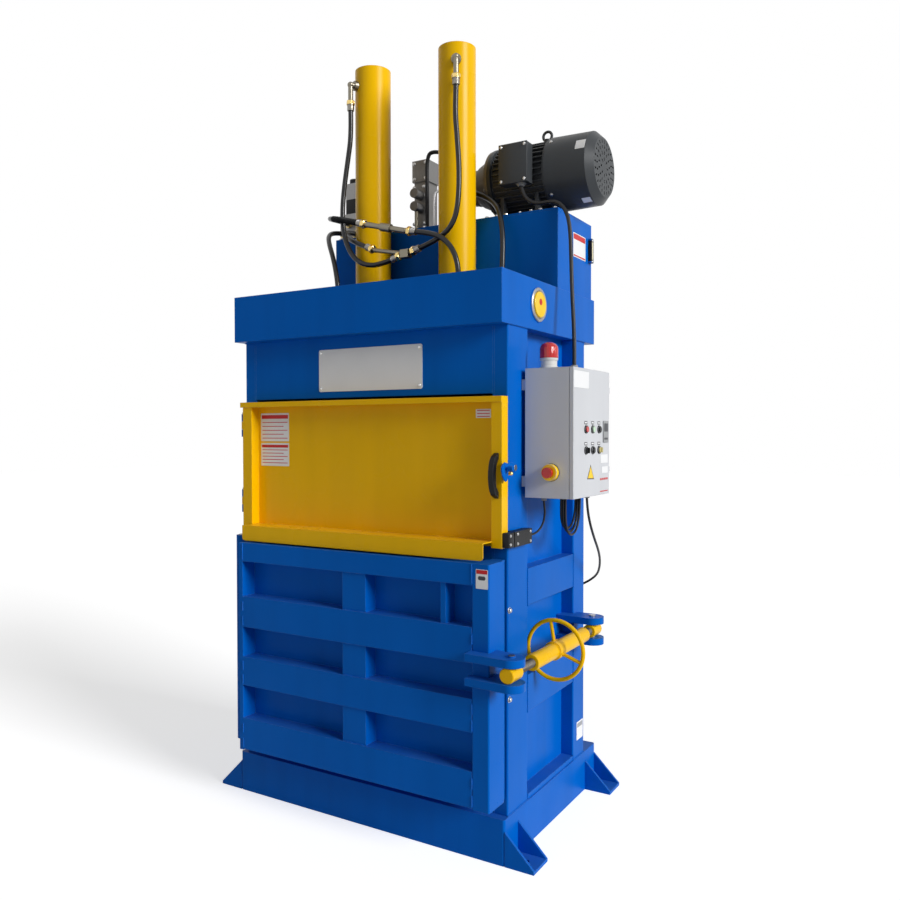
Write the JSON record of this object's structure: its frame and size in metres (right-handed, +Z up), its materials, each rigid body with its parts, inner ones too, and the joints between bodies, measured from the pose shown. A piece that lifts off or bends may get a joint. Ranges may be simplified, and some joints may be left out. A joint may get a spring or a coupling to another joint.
{
  "type": "recycling baler",
  "caption": "Upright press on a floor frame with two hydraulic cylinders, a side-hinged feed door above a side-hinged bale door with a screw lock, and an oil tank with motor on top.",
  "frame": {"origin": "on the floor, under the middle of the base frame", "axes": "+X to the side of the lock and the control box, -Y to the front, +Z up"},
  "size_m": [1.649, 1.0565, 3.205],
  "materials": {
    "blue_paint": "gloss",
    "yellow_paint": "gloss",
    "grey_paint": "satin",
    "box_paint": "satin",
    "bright_steel": "satin",
    "hard_chrome": "polished",
    "cast_grey": "matt",
    "zinc": "satin",
    "black_rubber": "matt",
    "black_plastic": "matt",
    "red_plastic": "gloss",
    "green_plastic": "gloss"
  },
  "bodies": {
    "machine": {"base_frame": "blue_paint", "anchor_feet": "blue_paint", "side_walls": "blue_paint", "corner_posts": "blue_paint", "rear_wall": "blue_paint", "chamber_floor": "blue_paint", "front_panels": "blue_paint", "head_skirt": "blue_paint", "head_plate": "blue_paint", "lifting_sockets": "bright_steel", "cylinder_glands": "yellow_paint", "cylinder_barrels": "yellow_paint", "oil_tank": "blue_paint", "tank_lid": "blue_paint", "motor_housing": "grey_paint", "fan_cover": "grey_paint", "bell_housing": "cast_grey", "pump": "cast_grey", "valve_blocks": "bright_steel", "near_hose": "black_rubber", "far_hose": "black_rubber", "right_drop_hose": "black_rubber", "left_valve_hose": "black_rubber", "return_hose": "black_rubber", "left_drop_hose": "black_rubber", "suction_hose": "black_rubber", "motor_cable": "black_rubber", "switch_cable": "black_rubber", "box_loop_cable": "black_rubber", "rear_cable": "black_rubber", "hose_fittings": "zinc", "body_knuckles": "blue_paint", "hinge_pins": "bright_steel", "body_lugs": "blue_paint", "interlock_switch": "black_plastic", "control_box": "box_paint", "beacon": "red_plastic", "cable_glands": "black_plastic"},
    "press_platen": {"piston_rods": "hard_chrome", "platen_body": "blue_paint", "platen_pads": "blue_paint"},
    "feed_door": {"upper_door": "yellow_paint", "door_handle": "black_plastic"},
    "bale_door": {"lower_door": "blue_paint", "door_liner": "blue_paint", "door_lugs": "blue_paint"},
    "hook": {"latch_hook": "blue_paint"},
    "lock_arm": {"swivel_eye": "yellow_paint"},
    "lock_turner": {"lock_sleeve": "yellow_paint", "handwheel": "yellow_paint"},
    "lock_screw": {"screw_eye": "yellow_paint"},
    "box_lid": {"box_door": "box_paint"},
    "start_push": {"start_button": "red_plastic"},
    "light_push": {"light_button": "green_plastic"},
    "raise_push": {"raise_button": "black_plastic"},
    "mode_knob": {"mode_selector": "black_plastic"},
    "lower_push": {"lower_button": "black_plastic"},
    "key_knob": {"key_selector": "black_plastic"},
    "stop_push": {"stop_button": "red_plastic"},
    "fan": {"motor_fan": "black_plastic"}
  },
  "joints": [
    {"name": "platen_slide", "type": "slide", "parent": "machine", "child": "press_platen", "axis": [0, 0, -1], "range_m": [0, 1]},
    {"name": "feed_door_swing", "type": "hinge", "parent": "machine", "child": "feed_door", "pos_m": [-0.634, -0.44, 1.4], "axis": [0, 0, -1], "range_deg": [0, 110]},
    {"name": "bale_door_swing", "type": "hinge", "parent": "machine", "child": "bale_door", "pos_m": [-0.612, -0.478, 0.7], "axis": [0, 0, -1], "range_deg": [0, 110]},
    {"name": "hook_turn", "type": "hinge", "parent": "machine", "child": "hook", "pos_m": [0.662, -0.396, 1.452], "axis": [1, 0, 0], "range_deg": [0, 25]},
    {"name": "lock_swing", "type": "hinge", "parent": "machine", "child": "lock_arm", "pos_m": [0.74, 0.196, 0.748], "axis": [0, 0, 1], "range_deg": [0, 110]},
    {"name": "sleeve_turn", "type": "hinge", "parent": "lock_arm", "child": "lock_turner", "pos_m": [0.74, -0.189, 0.748], "axis": [0, 1, 0], "range_deg": [0, 1080]},
    {"name": "screw_slide", "type": "slide", "parent": "lock_arm", "child": "lock_screw", "axis": [0, -1, 0], "range_m": [0, 0.0361]},
    {"name": "box_lid_swing", "type": "hinge", "parent": "machine", "child": "box_lid", "pos_m": [0.85, 0.071, 1.578], "axis": [0, 0, 1], "range_deg": [0, 120]},
    {"name": "start_press", "type": "slide", "parent": "box_lid", "child": "start_push", "axis": [-1, 0, 0], "range_m": [0, 0.004], "stiffness_N_per_m": 200},
    {"name": "light_press", "type": "slide", "parent": "box_lid", "child": "light_push", "axis": [-1, 0, 0], "range_m": [0, 0.004], "stiffness_N_per_m": 200},
    {"name": "raise_press", "type": "slide", "parent": "box_lid", "child": "raise_push", "axis": [-1, 0, 0], "range_m": [0, 0.004], "stiffness_N_per_m": 200},
    {"name": "mode_turn", "type": "hinge", "parent": "box_lid", "child": "mode_knob", "pos_m": [0.86, -0.183, 1.513], "axis": [1, 0, 0], "range_deg": [-45, 45]},
    {"name": "lower_press", "type": "slide", "parent": "box_lid", "child": "lower_push", "axis": [-1, 0, 0], "range_m": [0, 0.004], "stiffness_N_per_m": 200},
    {"name": "key_turn", "type": "hinge", "parent": "box_lid", "child": "key_knob", "pos_m": [0.86, -0.049, 1.513], "axis": [1, 0, 0], "range_deg": [0, 90]},
    {"name": "stop_press", "type": "slide", "parent": "machine", "child": "stop_push", "axis": [0, 1, 0], "range_m": [0, 0.005]},
    {"name": "fan_spin", "type": "hinge", "parent": "machine", "child": "fan", "pos_m": [0.5, 0.235, 2.693], "axis": [1, 0, 0], "continuous": true}
  ],
  "couplings": [
    {"joint": "screw_slide", "follows": "sleeve_turn", "m_per_rad": 0.0019099}
  ]
}
